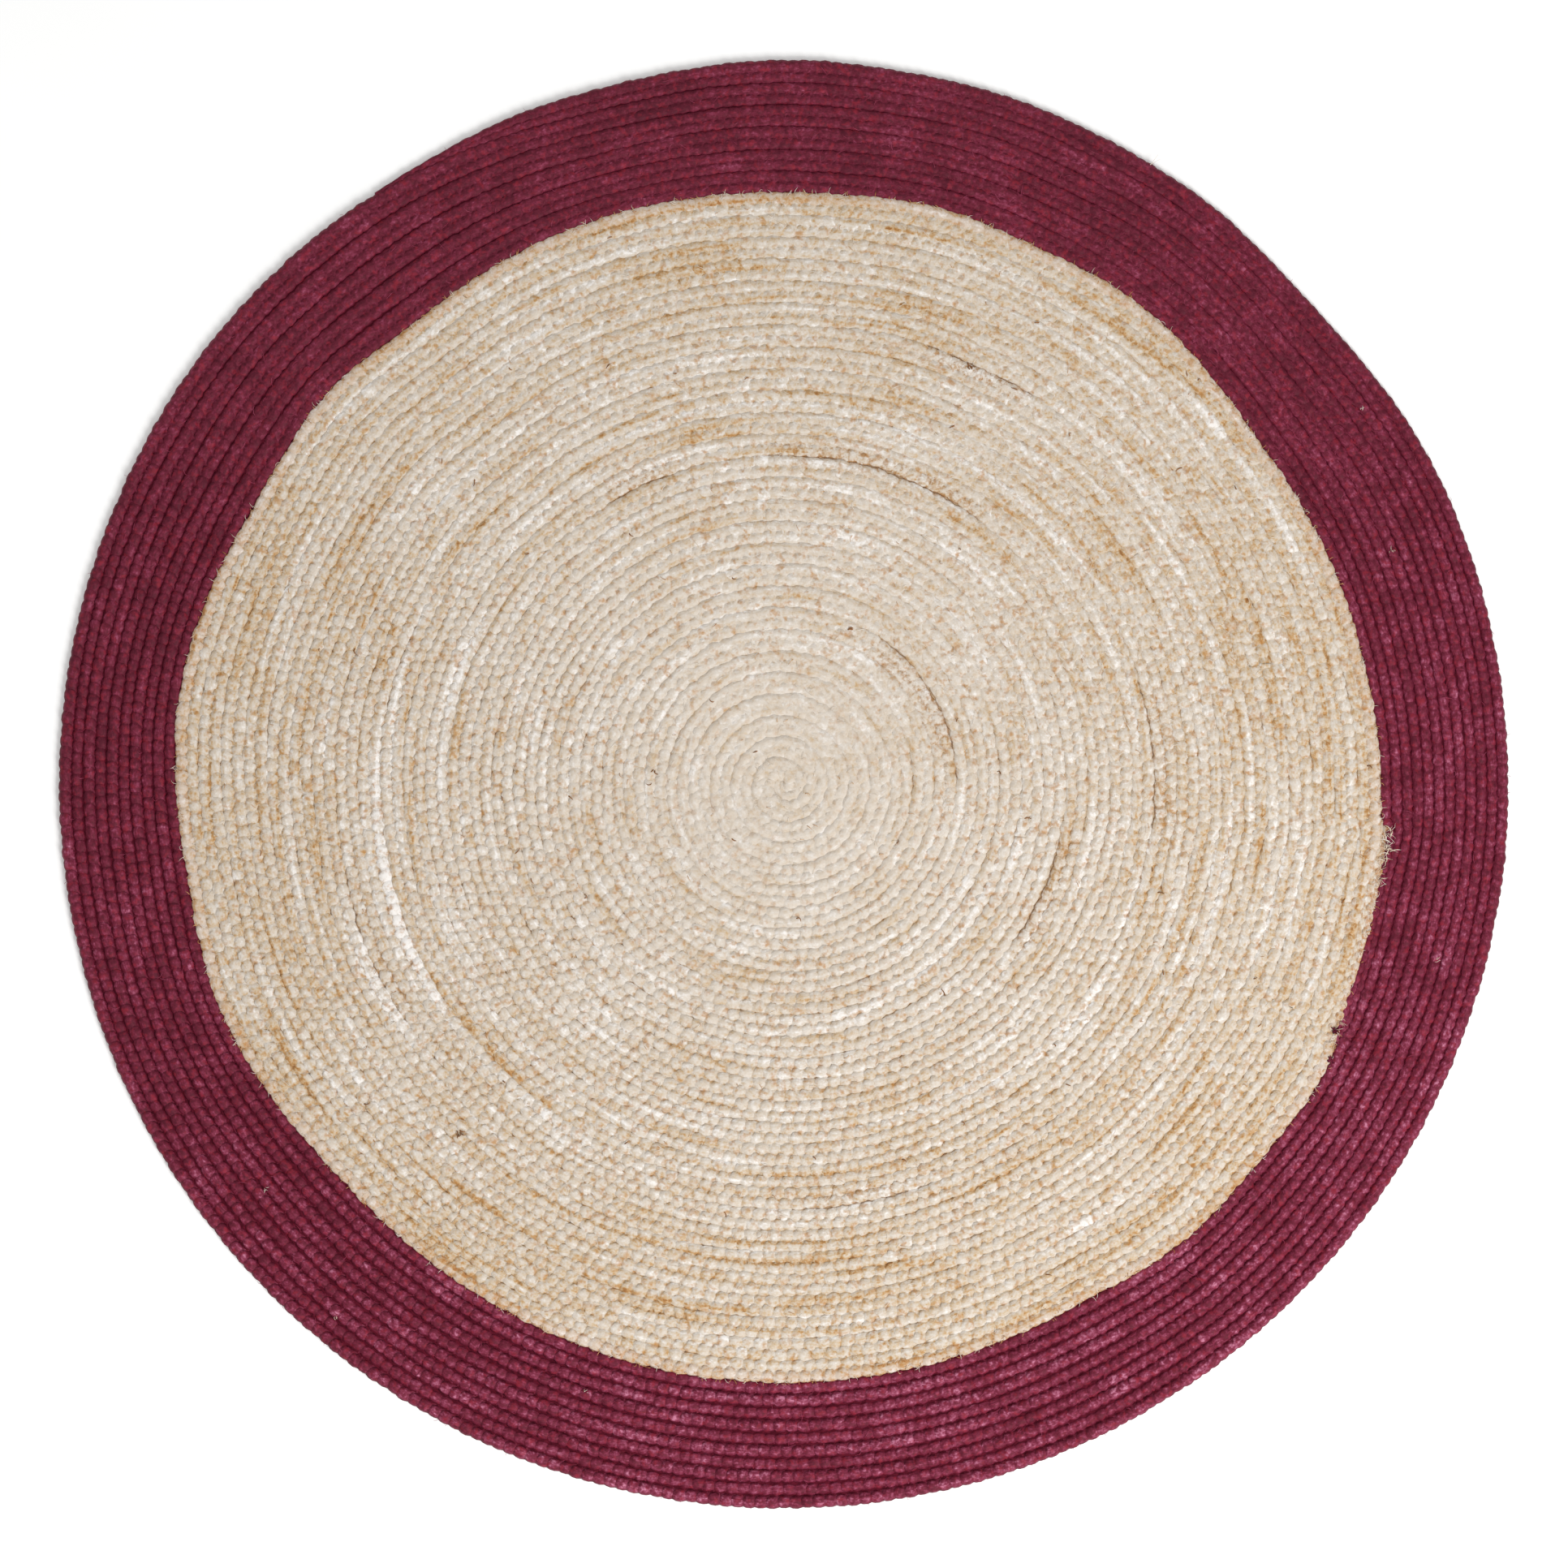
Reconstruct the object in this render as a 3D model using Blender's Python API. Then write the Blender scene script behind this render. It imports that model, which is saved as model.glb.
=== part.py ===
# Round braided jute rug: a natural jute coil with a maroon jute border, lying flat.
# Metres, +Z up. The origin is under the rug's centre, on the surface that it lies on.

import math

import bpy

# Driving dimensions
RUG_RADIUS = 0.600
RUG_THICKNESS = 0.009
EDGE_ROUND = 0.0025         # the braid's rounded side, at the rim and beside the colour change
SEWN_GAP = 0.00035          # between the coil and the border
POINT_EVERY_DEG = 3.0

# The colour change follows the coil: it moves out by one row in a turn, and comes back
# in two half-row steps where the natural braid ends.
ROW_WIDTH = 0.0176
SEAM_START_RADIUS = 0.4945
SEAM_START_DEG = 358.0      # just past the natural braid's end
FIRST_STEP_DEG = (334.4, 336.9)
LAST_STEP_DEG = (355.0, 358.0)

# Highs and lows of the colour change, (degrees, mm off the plain coil)
SEAM_WAVES = (
    (0.0, 0.0), (16.0, -5.5), (36.0, -11.0), (54.0, -2.6), (66.0, -6.5), (74.0, -4.0),
    (86.0, -9.0), (112.0, -7.7), (129.0, -12.0), (140.0, -3.0), (149.0, -6.8), (172.0, 3.4),
    (190.0, -4.0), (200.0, -1.6), (224.0, -14.4), (260.0, -12.0), (300.0, -14.0), (312.0, -7.0),
    (320.0, -8.2), (334.0, -2.4), (350.0, -3.0),
)

# Highs and lows of the rim, (degrees, mm off the full radius)
RIM_WAVES = (
    (0.0, 0.0), (24.0, 0.0), (43.0, -10.2), (57.0, -3.0), (61.0, -4.2), (70.0, -1.0),
    (79.0, -2.2), (90.0, 0.0), (105.0, -4.6), (110.0, -2.8), (121.0, -6.1), (133.0, -2.6),
    (146.0, 0.0),
)

MM = 0.001

JUTE_COLOUR = (0.658, 0.552, 0.451)
JUTE_ROUGHNESS = 0.85
MAROON_COLOUR = (0.158, 0.026, 0.041)
MAROON_ROUGHNESS = 0.75


def clear_scene():
    for old in list(bpy.data.objects):
        bpy.data.objects.remove(old)


def new_collection(name):
    collection = bpy.data.collections.new(name)
    bpy.context.scene.collection.children.link(collection)
    return collection


def fibre_material(name, colour, roughness):
    material = bpy.data.materials.new(name)
    material.use_nodes = True
    shader = material.node_tree.nodes["Principled BSDF"]
    shader.inputs["Base Color"].default_value = (*colour, 1.0)
    shader.inputs["Roughness"].default_value = roughness
    shader.inputs["Metallic"].default_value = 0.0
    material.diffuse_color = (*colour, 1.0)
    return material


def eased(share):
    """0 to 1 with a level start and finish."""
    share = min(max(share, 0.0), 1.0)
    return share * share * (3.0 - 2.0 * share)


def wave_at(waves, angle):
    """Height in mm of a closed wavy line that levels out at each high and low."""
    angle = angle % 360.0
    closed = (*waves, (waves[0][0] + 360.0, waves[0][1]))
    for (start, low), (end, high) in zip(closed, closed[1:]):
        if start <= angle <= end:
            return low + (high - low) * eased((angle - start) / (end - start))
    return 0.0


def seam_radius(angle):
    """Radius of the colour change."""
    turned = ((angle - SEAM_START_DEG) % 360.0) / 360.0
    radius = SEAM_START_RADIUS + ROW_WIDTH * turned + wave_at(SEAM_WAVES, angle) * MM
    for start, end in (FIRST_STEP_DEG, LAST_STEP_DEG):
        if start < angle < SEAM_START_DEG:
            radius -= 0.5 * ROW_WIDTH * eased((angle - start) / (end - start))
    return radius


def rim_radius(angle):
    return RUG_RADIUS + wave_at(RIM_WAVES, angle) * MM


def outline_angles():
    """Even steps round the rug, with closer ones where the natural braid ends."""
    angles = [POINT_EVERY_DEG * i for i in range(round(360.0 / POINT_EVERY_DEG))]
    for start, end in (FIRST_STEP_DEG, LAST_STEP_DEG):
        angles += [start + (end - start) * i / 4.0 for i in range(1, 4)]
    return sorted(angles)


def add_outline(curve, radius_at, offset):
    """One closed outline, with its radius as a function of the angle."""
    angles = outline_angles()
    spline = curve.splines.new("POLY")
    spline.points.add(len(angles) - 1)
    for point, angle in zip(spline.points, angles):
        radius = radius_at(angle) + offset
        turn = math.radians(angle)
        point.co = (radius * math.cos(turn), radius * math.sin(turn), 0.0, 1.0)
    spline.use_cyclic_u = True


def flat_piece(name, outlines, material, collection):
    """A flat braided piece with rounded sides, resting on the ground."""
    curve = bpy.data.curves.new(name, "CURVE")
    curve.dimensions = "2D"
    curve.fill_mode = "BOTH"
    curve.extrude = RUG_THICKNESS / 2.0 - EDGE_ROUND
    curve.bevel_depth = EDGE_ROUND
    curve.bevel_resolution = 1
    curve.offset = -EDGE_ROUND
    for radius_at, offset in outlines:
        add_outline(curve, radius_at, offset)
    piece = bpy.data.objects.new(name, curve)
    piece.location.z = RUG_THICKNESS / 2.0
    curve.materials.append(material)
    collection.objects.link(piece)
    weld = piece.modifiers.new("Join caps", "WELD")
    weld.merge_threshold = 0.00005
    return piece


def main():
    clear_scene()
    rug = new_collection("round_jute_rug")
    jute = fibre_material("natural jute", JUTE_COLOUR, JUTE_ROUGHNESS)
    maroon = fibre_material("maroon jute", MAROON_COLOUR, MAROON_ROUGHNESS)
    half_gap = SEWN_GAP / 2.0
    flat_piece("natural_coil", [(seam_radius, -half_gap)], jute, rug)
    flat_piece("maroon_border", [(rim_radius, 0.0), (seam_radius, half_gap)], maroon, rug)


main()
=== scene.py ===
import bpy
import bmesh
import math
import numpy as np
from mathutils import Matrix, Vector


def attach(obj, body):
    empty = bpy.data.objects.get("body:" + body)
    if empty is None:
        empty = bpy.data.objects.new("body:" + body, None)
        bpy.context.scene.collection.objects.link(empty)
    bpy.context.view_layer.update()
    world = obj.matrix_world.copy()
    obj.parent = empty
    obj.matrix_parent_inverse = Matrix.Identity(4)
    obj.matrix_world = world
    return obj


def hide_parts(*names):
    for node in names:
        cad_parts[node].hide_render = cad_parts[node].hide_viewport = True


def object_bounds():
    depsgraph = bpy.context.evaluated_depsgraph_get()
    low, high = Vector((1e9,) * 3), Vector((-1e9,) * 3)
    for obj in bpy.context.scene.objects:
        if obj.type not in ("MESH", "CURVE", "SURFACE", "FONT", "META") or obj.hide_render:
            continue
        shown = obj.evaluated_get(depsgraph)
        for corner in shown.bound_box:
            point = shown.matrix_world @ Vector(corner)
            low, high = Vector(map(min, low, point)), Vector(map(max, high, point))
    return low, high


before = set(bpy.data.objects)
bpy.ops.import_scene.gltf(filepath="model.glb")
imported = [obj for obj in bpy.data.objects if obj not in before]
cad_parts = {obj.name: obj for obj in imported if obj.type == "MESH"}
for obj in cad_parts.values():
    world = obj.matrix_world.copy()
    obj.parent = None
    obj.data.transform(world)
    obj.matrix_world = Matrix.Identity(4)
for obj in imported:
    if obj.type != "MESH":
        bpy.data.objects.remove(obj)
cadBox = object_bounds()
mm = 0.001


def hexColour(text, alpha=1.0):
    # sRGB hex to the linear colour that the shader wants
    parts = [int(text[i:i + 2], 16) / 255 for i in (1, 3, 5)]
    linear = [p / 12.92 if p <= 0.04045 else ((p + 0.055) / 1.055) ** 2.4 for p in parts]
    return (*linear, alpha)


def eased(value, low, high):
    t = np.clip((value - low) / (high - low), 0, 1)
    return t * t * (3 - 2 * t)


def sector(degrees, start, full, fading, end):
    # 1 over part of the round, eased at both ends
    return eased(degrees, start, full) * (1 - eased(degrees, fading, end))


def wander(position, spacing, seed):
    # smooth random drift between -1 and 1, with one new value every spacing
    knots = np.random.default_rng(seed).uniform(-1, 1, int(np.max(position) / spacing) + 4)
    at = np.maximum(position, 0) / spacing
    whole = np.floor(at).astype(int)
    blend = eased(at - whole, 0, 1)
    return knots[whole] * (1 - blend) + knots[whole + 1] * blend


def runningMean(values, reach):
    padded = np.pad(values, reach, mode="edge")
    return np.convolve(padded, np.ones(2 * reach + 1) / (2 * reach + 1), mode="valid")


def addNode(tree, kind, settings=None, links=None):
    # a settings key is an input, an attribute of the node, or "stops" for a colour ramp
    node = tree.nodes.new(kind)
    for key, value in (settings or {}).items():
        if key == "stops":
            elements = node.color_ramp.elements
            while len(elements) < len(value):
                elements.new(0.5)
            for element, (position, colour) in zip(elements, value):
                element.position = position
                element.color = hexColour(colour)
        elif isinstance(key, int) or key in node.inputs:
            node.inputs[key].default_value = value
        else:
            setattr(node, key, value)
    for key, source in (links or {}).items():
        socket = source if isinstance(source, bpy.types.NodeSocket) else source.outputs[0]
        tree.links.new(socket, node.inputs[key])
    return node


def newMaterial(name):
    material = bpy.data.materials.new(name)
    material.use_nodes = True
    tree = material.node_tree
    tree.nodes.clear()
    return material, tree


def addObject(name, data):
    thing = bpy.data.objects.new(name, data)
    bpy.context.scene.collection.objects.link(thing)
    return thing


rug = {
    "fieldRows": 27,          # turns of natural braid from the centre to the seam
    "centreRow": 17.6 * mm,   # braid width near the centre
    "rowGrowth": 17.6 * mm,   # how far the seam moves out in one turn
    "startDeg": 358.0,        # where the turns are counted from
    "halfEnd": (336.4, 338.9),   # the natural braid thins to half, in degrees past startDeg
    "lastEnd": (352.0, 360.0),   # and ends
    "rimEnd": (107.0, 127.0),    # the outermost maroon braid tapers away
    "parting": 1.4 * mm,      # how far two rows draw back from each other where they part
    "looser": 0.07,           # how much longer or shorter the plait's stitches get,
    "looserOver": 0.35,       # changing over so many metres of braid
    "waveFade": 2.5,          # a higher power keeps the seam's waves closer to the seam
}


def outlineOf(nodeName):
    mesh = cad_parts[nodeName].data
    points = np.empty(len(mesh.vertices) * 3, np.float32)
    mesh.vertices.foreach_get("co", points)
    x, y, _ = points.reshape(-1, 3).T
    degrees = np.round(np.degrees(np.arctan2(y, x)) % 360, 1)
    places = np.unique(degrees)
    radii = np.array([np.hypot(x, y)[degrees == place].max() for place in places])
    outside = radii > 0.93 * radii.max()   # leaves out points that are only on a ring's inner edge
    return places[outside], radii[outside]


seamLine = outlineOf("natural_coil")
rimLine = outlineOf("maroon_border")
print("outlines read:", len(seamLine[0]), "points on the seam and", len(rimLine[0]), "on the rim")


def seamAt(turn):
    return np.interp(rug["startDeg"] + 360 * turn, *seamLine, period=360)


def rimAt(turn):
    return np.interp(rug["startDeg"] + 360 * turn, *rimLine, period=360)


def stepAt(turn):
    # 0 where the natural braid is whole, 1/2 after its first step, 1 where it has ended
    degrees = 360 * (turn % 1)
    return 0.5 * eased(degrees, *rug["halfEnd"]) + 0.5 * eased(degrees, *rug["lastEnd"])


def wholeSeam(turn):
    return seamAt(turn % 1) + rug["rowGrowth"] * stepAt(turn)


seamStart = float(seamAt(0.0))


def fieldEdge(turn):
    # inner edge of the natural braid after that many turns
    rows = rug["fieldRows"]
    spread = (seamStart - rows * rug["centreRow"]) / rows ** 2
    even = rug["centreRow"] * turn + spread * turn ** 2
    past = seamStart + rug["rowGrowth"] * (turn - rows)
    waves = wholeSeam(turn) - seamStart - rug["rowGrowth"] * (turn % 1)
    share = np.clip(turn / rows, 0, 1) ** rug["waveFade"]
    return np.where(turn < rows, even, past) + waves * share


def borderEdge(turn):
    # inner edge of the maroon braid after that many turns, counted from the seam
    inner = wholeSeam(turn)
    outer = rimAt(turn)
    rows = (rimAt(0.0) - seamStart) / rug["rowGrowth"]
    rows = rows - eased(360 * (turn % 1), *rug["rimEnd"])
    return inner + (outer - inner) * np.floor(turn) / rows


# the two braids: the natural one is fuller, the dyed one is pulled tighter and rounder
naturalBraid = {
    "sway": 4.7 * mm,          # how far a strand swings to each side
    "square": 0.35,            # under 1 a strand stays longer at the sides, so the ridges run straighter
    "lift": 0.8 * mm,          # how far it rises over the others and dives under
    "lagDeg": 20,              # how late it rises
    "dip": 0.4 * mm,           # how much lower it crosses the middle, which cuts a groove there
    "pinch": 0.15,             # and how much thinner it is there
    "wide": 6.0 * mm,          # half width of a strand
    "high": 2.9 * mm,          # half height of a strand
    "middle": 4.6 * mm,        # height of the braid's centre line
    "uneven": 1.0 * mm,        # how far it strays from its path
    "shoulder": (0.74, 0.8),   # where the strand's round top turns down, as shares of wide and high
}
maroonBraid = {
    "sway": 4.6 * mm,
    "square": 0.25,
    "lift": 0.85 * mm,
    "lagDeg": 25,
    "dip": 1.4 * mm,
    "pinch": 0.35,
    "wide": 5.4 * mm,
    "high": 3.5 * mm,
    "middle": 4.4 * mm,
    "uneven": 0.35 * mm,
    "shoulder": (0.62, 0.66),
}
ringDeg = (0, 14, 32, 60, 95, 145)   # rings on each half swing, most of them where the strand shows
sides = 6                            # corners of each ring
plait = {
    "overlap": 0.06,        # how far a piece reaches into the one before, in radians of the swing
    "ringGap": 0.04,        # no ring lies closer than this to a cut
    "grooveSharpness": 12,  # a higher power makes the groove at the crossing narrower
    "girth": 24 * mm,       # way round a strand, for the grain of its fibres
    "grainShift": 0.1,      # keeps the grain of the two braids apart, in metres for each step of the seed
    "whiteReach": 3.2 * mm,  # a pale arc is about one ridge wide
    "partReach": 7 * mm,    # a parting's painted shade shows on the ridges at both sides of it
    "floor": 0.1 * mm,      # the underside is pressed flat just above the floor
    # what drifts along a strand: how much, and over how many radians of the swing
    "swayDrift": (0.06, 2.3),
    "pathDrift": (1.0, 1.9),
    "heightDrift": (0.4, 1.3),
    "thickDrift": (0.06, 2.1),
    "fullness": 0.98,       # a strand's usual share of its full thickness
    "filling": 0.7,         # how much of a strand's thickness follows its row's width,
    "fullest": 1.08,        # up to this width
    "swelling": 0.14,       # how much thicker it is where the braid is flattened
}

# what stands out in the natural coil, as (from degrees, to degrees, mm from the centre, strength)
whiteArcs = [(165, 255, 340, 0.42), (15, 50, 465, 0.3), (55, 95, 465, 0.3), (190, 220, 375, 0.36),
             (175, 225, 305, 0.32), (265, 285, 355, 0.28)]
partings = [(350, 435, 135, 0.85), (45, 100, 275, 1.0), (105, 125, 280, 0.7), (320, 355, 240, 0.7),
            (55, 75, 375, 0.8), (270, 290, 345, 0.6), (345, 380, 315, 0.5), (190, 215, 365, 0.5)]


def alongArc(degrees, start, end):
    past = (degrees - start) % 360
    fade = 0.3 * (end - start)   # it fades in and out over three tenths of its length
    return eased(past, 0, fade) * (1 - eased(past, end - start - fade, end - start))


def strengthOf(arcs, radius, degrees, reach):
    # how strongly these arcs mark a point, within a reach to each side
    total = np.zeros_like(radius)
    for start, end, middle, strength in arcs:
        beside = np.exp(-((radius - middle * mm) / reach) ** 2)
        total = total + strength * alongArc(degrees, start, end) * beside
    return total


def strandProfile(yarn):
    out, up = yarn["shoulder"]
    outline = [(0, -1), (1, -0.1), (out, up), (0, 1), (-out, up), (-1, -0.1)]
    curve = bpy.data.curves.new("strandProfile", "CURVE")
    curve.dimensions = "2D"
    spline = curve.splines.new("POLY")
    spline.points.add(sides - 1)
    for point, (x, y) in zip(spline.points, outline):
        point.co = (x * yarn["wide"], y * yarn["high"], 0, 1)
    spline.use_cyclic_u = True
    return addObject("strandProfile", curve)


def layRoute(turns, inner, outer, fullWidth, period, roll, relief, seed):
    # the braid's centre line and its plaiting phase along it
    radius = (inner + outer) / 2
    angle = np.radians(rug["startDeg"]) + 2 * np.pi * turns
    steps = np.hypot(np.diff(radius), radius[1:] * np.diff(angle))
    length = np.concatenate([[0], np.cumsum(steps)])
    # plaited looser and tighter along the way
    stitch = period * (1 + rug["looser"] * wander(length, rug["looserOver"], seed))
    pace = 2 * np.pi / stitch
    phase = np.concatenate([[0], np.cumsum(pace[1:] * steps)])
    return {"turn": turns, "radius": radius, "angle": angle, "phase": phase,
            "wide": (outer - inner) / fullWidth, "roll": roll, "relief": relief, "seed": seed}


def meshPiece(name, curve, material):
    # the curve as a closed mesh of its own
    rope = addObject(name + "_curve", curve)
    bpy.context.view_layer.update()
    graph = bpy.context.evaluated_depsgraph_get()
    mesh = bpy.data.meshes.new_from_object(rope.evaluated_get(graph), depsgraph=graph)
    mesh.name = name
    bpy.data.objects.remove(rope)
    bm = bmesh.new()
    bm.from_mesh(mesh)
    ends = bmesh.ops.holes_fill(bm, edges=[e for e in bm.edges if e.is_boundary], sides=sides)
    for face in ends["faces"]:
        face.smooth = False
    for v in bm.verts:
        v.co.z = max(v.co.z, plait["floor"])
    bm.to_mesh(mesh)
    bm.free()
    mesh.materials.clear()
    mesh.materials.append(material)
    return addObject(name, mesh)


def unroll(mesh):
    # a UV map of the strands unrolled in rows of rings, for baking the finish onto the mesh
    corner = np.empty(len(mesh.loops), np.int32)
    mesh.loops.foreach_get("vertex_index", corner)
    starts = np.empty(len(mesh.polygons), np.int32)
    mesh.polygons.foreach_get("loop_start", starts)
    face = np.repeat(np.arange(len(starts)), np.diff(np.append(starts, len(corner))))
    ring, side = corner // sides, corner % sides
    first = np.minimum.reduceat(ring, starts)[face]
    isEnd = (np.maximum.reduceat(ring, starts)[face] == first)
    across = np.where((side == 0) & (np.maximum.reduceat(side, starts)[face] == sides - 1), sides, side)
    perRow = 256   # rings side by side
    row = first // perRow
    rows = row.max() + 2   # the last row holds the end faces
    u = ring - perRow * row + 0.5
    v = (sides + 1) * row + across + 0.5
    turned = 2 * np.pi * side / sides
    u = np.where(isEnd, 2 + 3 * (face - face[isEnd].min()) + np.cos(turned), u)
    v = np.where(isEnd, (sides + 1) * (rows - 1) + 3 + np.sin(turned), v)   # small rounds, 3 apart
    places = np.stack([u / (perRow + 2), v / ((sides + 1) * rows)], 1)
    layer = mesh.uv_layers.new(name="OFBake")
    layer.data.foreach_set("uv", places.astype(np.float32).ravel())


def layBraid(name, route, start, end, yarn, material):
    # three strands between two phases, as tubes of one closed mesh
    profile = strandProfile(yarn)
    curve = bpy.data.curves.new(name, "CURVE")
    curve.dimensions = "3D"
    curve.bevel_mode = "OBJECT"
    curve.bevel_object = profile
    curve.use_fill_caps = False
    curve.twist_mode = "Z_UP"
    fibre = []
    place = []
    apart = []
    for strand in range(3):
        shift = 2 * np.pi * strand / 3
        halves = np.arange(int(np.floor((start + shift) / np.pi)), int(np.ceil((end + shift) / np.pi)))
        swing = (halves[:, None] * np.pi + np.radians(ringDeg)).ravel()
        first = max(start - plait["overlap"], 0) + shift
        last = end + shift
        inside = (swing > first + plait["ringGap"]) & (swing < last - plait["ringGap"])
        swing = np.concatenate([[first], swing[inside], [last]])
        at = swing - shift
        turn, radius, angle, wide, roll, relief = (
            np.interp(at, route["phase"], route[key])
            for key in ("turn", "radius", "angle", "wide", "roll", "relief"))
        drift = {}
        for number, kind in enumerate(("pathDrift", "swayDrift", "heightDrift", "thickDrift"), 1):
            amount, spacing = plait[kind]
            drift[kind] = amount * wander(at, spacing, route["seed"] + 10 * strand + number)
        # where the strand runs: from side to side, over and under, and a little astray
        side = np.sin(swing)
        side = np.sign(side) * np.abs(side) ** yarn["square"]
        rise = np.sin(2 * swing - math.radians(yarn["lagDeg"]))
        crossing = np.cos(swing) ** plait["grooveSharpness"]
        x = yarn["sway"] * wide * side * (1 + drift["swayDrift"])
        x = x + yarn["uneven"] * drift["pathDrift"]
        z = yarn["middle"] + relief * (yarn["lift"] * rise - yarn["dip"] * crossing)
        z = z + relief * yarn["uneven"] * drift["heightDrift"] + roll * side
        # how thick it is: it fills a wider row, is pinched at the crossing and swells where it lies flat
        thick = 1 - plait["filling"] + plait["filling"] * np.minimum(wide, plait["fullest"])
        thick = thick * (plait["fullness"] + drift["thickDrift"]) * (1 - relief * yarn["pinch"] * crossing)
        thick = thick * (1 + plait["swelling"] * (1 - relief))
        points = np.stack([(radius + x) * np.cos(angle), (radius + x) * np.sin(angle),
                           z, np.ones_like(z)], 1)
        spline = curve.splines.new("POLY")
        spline.points.add(len(points) - 1)
        spline.points.foreach_set("co", points.astype(np.float32).ravel())
        spline.points.foreach_set("radius", thick.astype(np.float32))
        spline.use_smooth = True
        run = np.concatenate([[0], np.cumsum(np.linalg.norm(np.diff(points[:, :3], axis=0), axis=1))])
        around = np.linspace(0, 1, sides, endpoint=False) * plait["girth"]
        along = run + strand + route["seed"] * plait["grainShift"]
        fibre.append(np.stack([np.repeat(along, sides),
                               np.tile(around, len(points)),
                               np.full(len(points) * sides, strand, float)], 1))
        degrees = np.degrees(angle) % 360
        white = strengthOf(whiteArcs, radius + x, degrees, plait["whiteReach"])
        partedShade = strengthOf(partings, radius + x, degrees, plait["partReach"])
        place.append(np.stack([np.repeat(turn, sides), np.repeat(white, sides), np.repeat(side, sides)], 1))
        apart.append(np.repeat(partedShade, sides))
    piece = meshPiece(name, curve, material)
    bpy.data.objects.remove(profile)
    unroll(piece.data)
    # the material reads: fibre = way along, way round, strand; place = turn, paleness, side; apart = how
    # strongly a parting's painted shade shows
    for label, values in (("fibre", fibre), ("place", place)):
        layer = piece.data.attributes.new(label, "FLOAT_VECTOR", "POINT")
        layer.data.foreach_set("vector", np.concatenate(values).astype(np.float32).ravel())
    layer = piece.data.attributes.new("apart", "FLOAT", "POINT")
    layer.data.foreach_set("value", np.concatenate(apart).astype(np.float32))
    return piece


def yarnNodes(tree, grain):
    # noises that follow the yarn, each with its frequency per metre along it, round it
    # and from strand to strand
    yarn = addNode(tree, "ShaderNodeAttribute", {"attribute_name": "fibre"}).outputs["Vector"]
    spot = addNode(tree, "ShaderNodeTexCoord").outputs["Object"]
    flat = addNode(tree, "ShaderNodeVectorMath", {"operation": "MULTIPLY", 1: (1, 1, 0)}, {0: spot})
    reach = addNode(tree, "ShaderNodeVectorMath", {"operation": "LENGTH"}, {0: flat}).outputs["Value"]
    heading = addNode(tree, "ShaderNodeVectorMath", {"operation": "NORMALIZE"}, {0: flat})
    turned = addNode(tree, "ShaderNodeVectorMath", {"operation": "SCALE", "Scale": grain["bandTurns"]},
                     {0: heading})
    turnedXyz = addNode(tree, "ShaderNodeSeparateXYZ", {}, {0: turned}).outputs
    outwards = addNode(tree, "ShaderNodeMath", {"operation": "MULTIPLY", 1: grain["bandRows"]}, {0: reach})
    bandSpot = addNode(tree, "ShaderNodeCombineXYZ", {}, {0: turnedXyz[0], 1: turnedXyz[1], 2: outwards})
    sources = {"band": bandSpot}
    for name, way in (("strand", yarn), ("bead", yarn), ("hair", yarn), ("pebble", spot), ("patch", spot)):
        sources[name] = addNode(tree, "ShaderNodeVectorMath", {"operation": "MULTIPLY", 1: grain[name]},
                                {0: way})
    noises = {}
    for name, source in sources.items():
        noises[name] = addNode(tree, "ShaderNodeTexNoise", {"Scale": 1.0, "Detail": 2.0, "Roughness": 0.55},
                               {"Vector": source})
    total = addNode(tree, "ShaderNodeValue")
    total.outputs[0].default_value = grain["lightness"]
    for name, share in grain["shares"].items():
        total = addNode(tree, "ShaderNodeMath", {"operation": "MULTIPLY_ADD", 1: share},
                        {0: noises[name], 2: total})
    height = addNode(tree, "ShaderNodeMath", {"operation": "ADD"}, {0: noises["hair"], 1: noises["pebble"]})
    return {"tone": total, "height": height, "reach": reach, "spot": spot, "noises": noises}


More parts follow.
